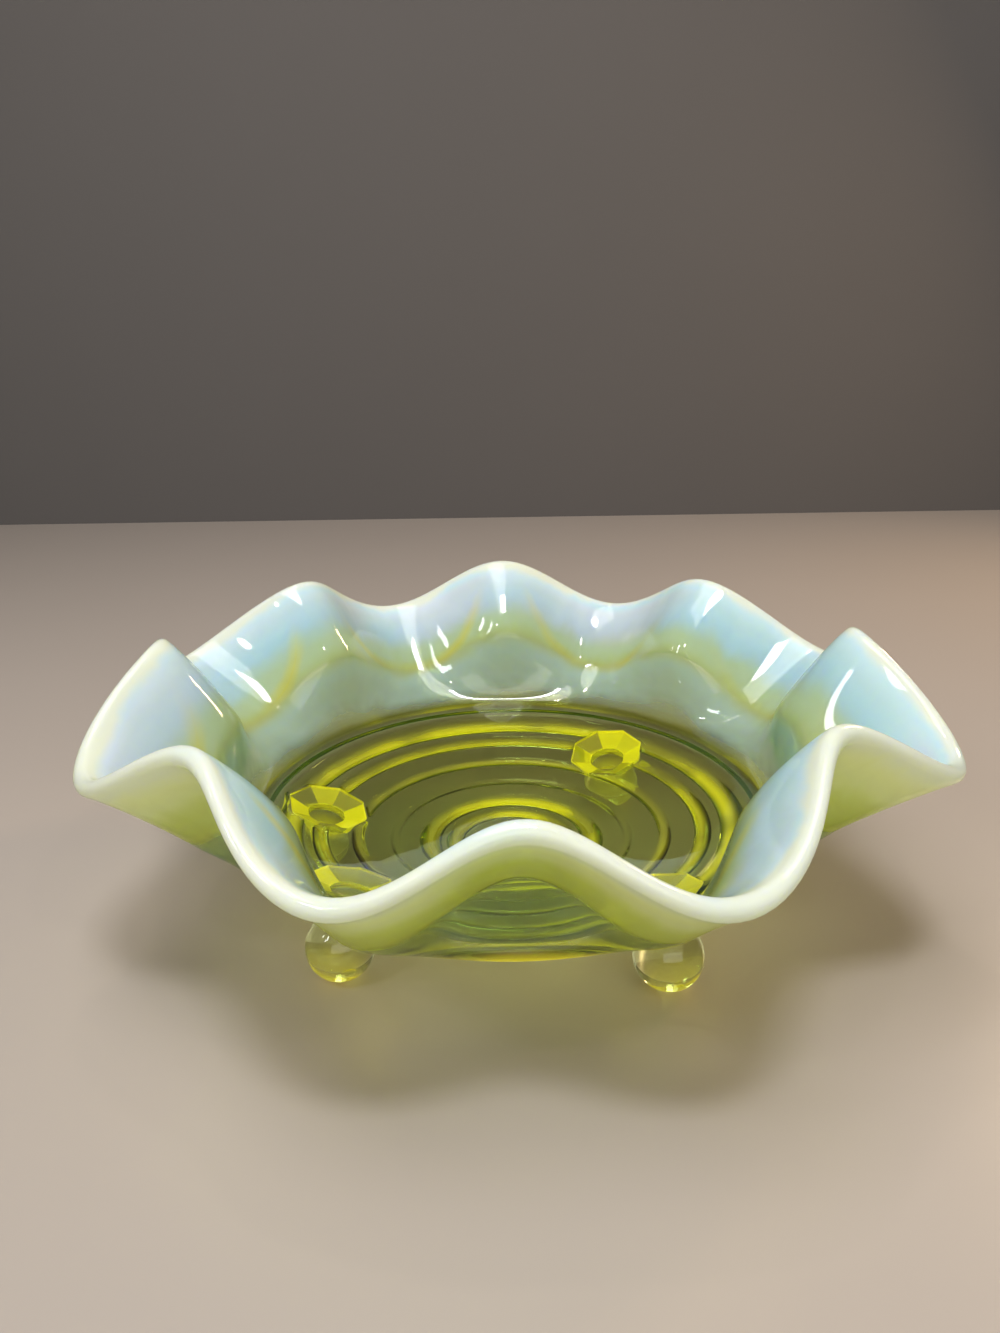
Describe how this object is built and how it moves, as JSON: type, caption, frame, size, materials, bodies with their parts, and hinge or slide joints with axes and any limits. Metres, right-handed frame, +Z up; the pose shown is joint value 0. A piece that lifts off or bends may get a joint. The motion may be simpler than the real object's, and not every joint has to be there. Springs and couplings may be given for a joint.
{
  "type": "footed glass bowl",
  "caption": "Shallow round glass bowl with a ruffled, milk-white rim, a clear yellow-green ringed floor and applied ball feet with faceted collars.",
  "frame": {"origin": "on the table the bowl stands on, at the bowl's axis", "axes": "+Z up along the bowl's axis, +X to the right along the rim's wider way, -Y towards the side with the two front feet"},
  "size_m": [0.2256, 0.2094, 0.0823],
  "materials": {
    "clear_glass": "clear yellow-green glass, fire-polished",
    "milky_glass": "opalescent yellow-green glass, fading from clear to milky towards the rim",
    "opal_glass": "milk-white opal glass, fire-polished"
  },
  "bodies": {
    "root": {"bowl_floor": "clear_glass", "ruffled_wall": "milky_glass", "opal_lip": "opal_glass", "collar_front_right": "clear_glass", "ball_front_right": "clear_glass", "collar_front_left": "clear_glass", "ball_front_left": "clear_glass", "collar_rear_left": "clear_glass", "ball_rear_left": "clear_glass", "collar_rear_right": "clear_glass", "ball_rear_right": "clear_glass"}
  },
  "joints": []
}
